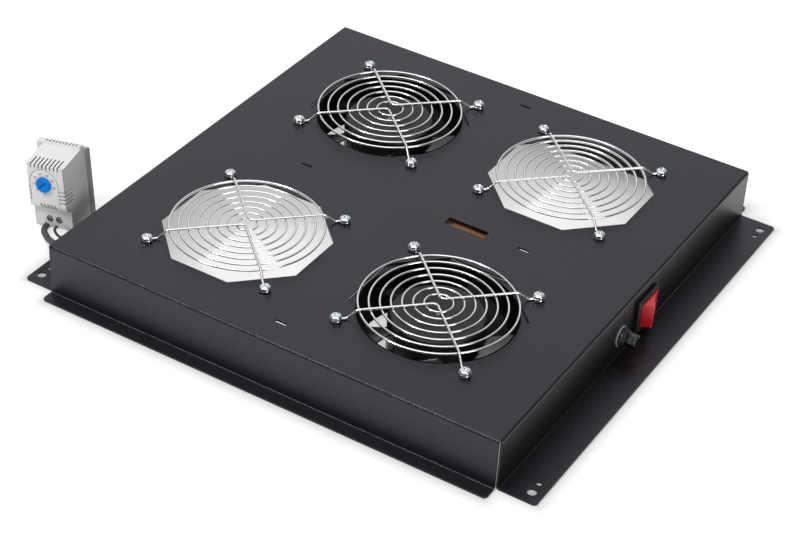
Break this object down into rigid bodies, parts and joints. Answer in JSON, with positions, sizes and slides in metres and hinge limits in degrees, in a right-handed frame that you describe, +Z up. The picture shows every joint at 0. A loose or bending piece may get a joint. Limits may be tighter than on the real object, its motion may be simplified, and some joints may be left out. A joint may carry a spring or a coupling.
{
  "type": "rack fan tray",
  "caption": "Folded steel rack fan tray with guarded fan bays, mains fans, a rocker switch, a fuse holder and a thermostat on a lead.",
  "frame": {"origin": "middle of the four rack bolt holes, on the underside of the flanges", "axes": "+Z up out of the top sheet, -Y toward the switch and fuse holder, +X to the right as seen from the switch side"},
  "size_m": [0.419, 0.4864, 0.0657],
  "materials": {
    "bimetal": "satin",
    "black_plastic": "satin black",
    "black_rubber": "matte",
    "block_white": "natural nylon",
    "board_brown": "laminated board",
    "coil_copper": "varnished copper",
    "core_brown": "brown insulation",
    "dial_blue": "satin blue",
    "fan_frame_black": "satin black",
    "fan_steel": "bare steel",
    "fuse_glass": "clear glass with metal ends",
    "grey_rubber": "matte",
    "guard_wire": "bright zinc wire",
    "lead_grey": "dark grey sheath",
    "pad_white": "foam",
    "rocker_red": "translucent red",
    "rotor_black": "dark satin",
    "thermo_dark_grey": "matte",
    "thermo_light_grey": "fine matte",
    "tin_brass": "tinned",
    "tray_powder_coat": "fine textured powder coat",
    "zinc_steel": "zinc plated"
  },
  "bodies": {
    "tray": {"block_screws": "tin_brass", "board_pads": "pad_white", "fan_bearings_front_left": "fan_steel", "fan_bearings_rear_right": "fan_steel", "fan_coils_front_left": "coil_copper", "fan_coils_rear_right": "coil_copper", "fan_core_front_left": "fan_steel", "fan_core_rear_right": "fan_steel", "fan_frame_front_left": "fan_frame_black", "fan_frame_rear_right": "fan_frame_black", "fan_lead_front_left": "lead_grey", "fan_lead_rear_right": "lead_grey", "fan_plug_front_left": "black_plastic", "fan_plug_rear_right": "black_plastic", "finger_guard_front_left": "guard_wire", "finger_guard_front_right": "guard_wire", "finger_guard_rear_left": "guard_wire", "finger_guard_rear_right": "guard_wire", "fuse_body": "black_plastic", "fuse_contacts": "tin_brass", "fuse_nut": "black_plastic", "fuse_switch_wire": "core_brown", "fuse_washer": "grey_rubber", "fuse_wire": "core_brown", "guard_nuts_fan_bays": "zinc_steel", "guard_nuts_open_bays": "zinc_steel", "guard_screws_fan_bays": "zinc_steel", "guard_screws_open_bays": "zinc_steel", "guard_washers": "zinc_steel", "lead_grommet": "black_rubber", "mains_bushing": "black_plastic", "switch_body": "black_plastic", "switch_terminals": "tin_brass", "switch_wire_a": "core_brown", "switch_wire_b": "core_brown", "terminal_block": "block_white", "terminal_board": "board_brown", "thermo_base": "thermo_dark_grey", "thermo_contacts": "thermo_dark_grey", "thermo_cover": "thermo_light_grey", "thermo_screws": "tin_brass", "thermo_strip": "bimetal", "thermostat_lead": "lead_grey", "thermostat_wire": "core_brown", "tray_shell": "tray_powder_coat"},
    "rotor_front_left": {"fan_rotor_front_left": "rotor_black", "fan_shaft_front_left": "fan_steel"},
    "rotor_rear_right": {"fan_rotor_rear_right": "rotor_black", "fan_shaft_rear_right": "fan_steel"},
    "rocker": {"switch_rocker": "rocker_red"},
    "dial": {"thermo_dial": "dial_blue"},
    "fuse_drawer": {"fuse_carrier": "black_plastic", "fuse_link": "fuse_glass"},
    "fuse_knob": {"fuse_cap": "black_plastic"}
  },
  "joints": [
    {"name": "fan_front_left_spin", "type": "hinge", "parent": "tray", "child": "rotor_front_left", "pos_m": [-0.0995, -0.081, 0.02], "axis": [0, 0, 1], "continuous": true},
    {"name": "fan_rear_right_spin", "type": "hinge", "parent": "tray", "child": "rotor_rear_right", "pos_m": [0.0995, 0.084, 0.02], "axis": [0, 0, 1], "continuous": true},
    {"name": "switch_tilt", "type": "hinge", "parent": "tray", "child": "rocker", "pos_m": [0.0167, -0.1879, 0.0216], "axis": [0, 0, 1], "range_deg": [-38, 0]},
    {"name": "dial_turn", "type": "hinge", "parent": "tray", "child": "dial", "pos_m": [-0.1403, 0.24223, 0.04374], "axis": [-0.9887, -0.1332, 0.0694], "range_deg": [-140, 140]},
    {"name": "fuse_pull", "type": "slide", "parent": "tray", "child": "fuse_drawer", "axis": [0, -1, 0], "range_m": [0, 0.03]},
    {"name": "fuse_cap_turn", "type": "hinge", "parent": "fuse_drawer", "child": "fuse_knob", "pos_m": [-0.0198, -0.1885, 0.0176], "axis": [0, -1, 0], "range_deg": [0, 60]}
  ]
}
